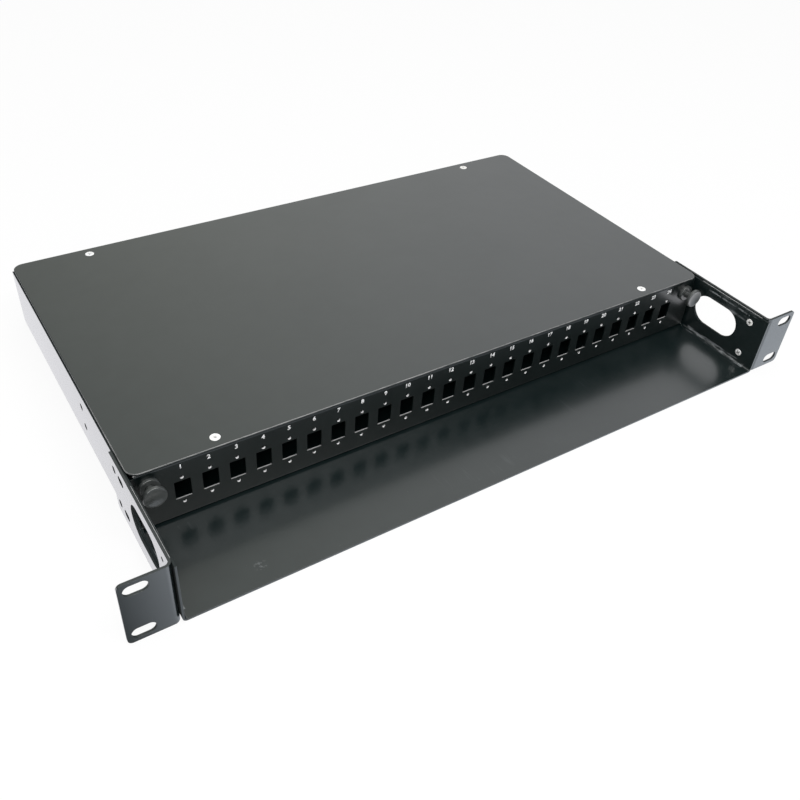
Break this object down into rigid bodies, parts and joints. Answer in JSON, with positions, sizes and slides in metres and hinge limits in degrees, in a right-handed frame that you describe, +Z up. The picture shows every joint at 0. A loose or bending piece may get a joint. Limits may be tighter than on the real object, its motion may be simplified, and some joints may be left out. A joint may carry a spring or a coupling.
{
  "type": "fibre patch panel",
  "caption": "Rack-mount fibre patch panel: black folded chassis with cable shelf and slotted ears, and a lidded sliding drawer with a row of empty adapter cut-outs and plunger latches.",
  "frame": {"origin": "centre of the four rack slots, on the rear faces of the ear flanges, which bear on the rack rails", "axes": "+X to the right seen from the front, +Y into the rack, +Z up"},
  "size_m": [0.4826, 0.298, 0.044],
  "materials": {
    "black_powder_coat": "semi-gloss black powder coat",
    "zinc_steel": "bright zinc plate",
    "black_nylon": "moulded black nylon",
    "pale_plastic": "moulded pale grey plastic"
  },
  "bodies": {
    "chassis_assembly": {"chassis": "black_powder_coat", "left_ear": "black_powder_coat", "right_ear": "black_powder_coat", "ear_screws": "zinc_steel", "left_latch_bracket": "black_powder_coat", "right_latch_bracket": "black_powder_coat", "left_outer_rail": "zinc_steel", "right_outer_rail": "zinc_steel"},
    "drawer": {"drawer_tray": "black_powder_coat", "front_panel": "black_powder_coat", "rear_panel": "black_powder_coat", "lid": "black_powder_coat", "lid_screws": "zinc_steel", "lid_nuts": "zinc_steel", "left_inner_rail": "zinc_steel", "right_inner_rail": "zinc_steel", "left_grommet": "black_nylon", "right_grommet": "black_nylon", "entry_plugs": "black_nylon", "splice_cassette": "pale_plastic", "cassette_cover": "pale_plastic", "splice_combs": "pale_plastic", "cassette_stud": "zinc_steel", "cassette_nut": "black_nylon", "fibre_clips": "pale_plastic"},
    "left_plunger_pin": {"left_plunger": "black_nylon"},
    "right_plunger_pin": {"right_plunger": "black_nylon"}
  },
  "joints": [
    {"name": "drawer_slide", "type": "slide", "parent": "chassis_assembly", "child": "drawer", "axis": [0, -1, 0], "range_m": [0, 0.16]},
    {"name": "left_plunger_push", "type": "slide", "parent": "drawer", "child": "left_plunger_pin", "axis": [0, 1, 0], "range_m": [0, 0.005]},
    {"name": "right_plunger_push", "type": "slide", "parent": "drawer", "child": "right_plunger_pin", "axis": [0, 1, 0], "range_m": [0, 0.005]}
  ]
}
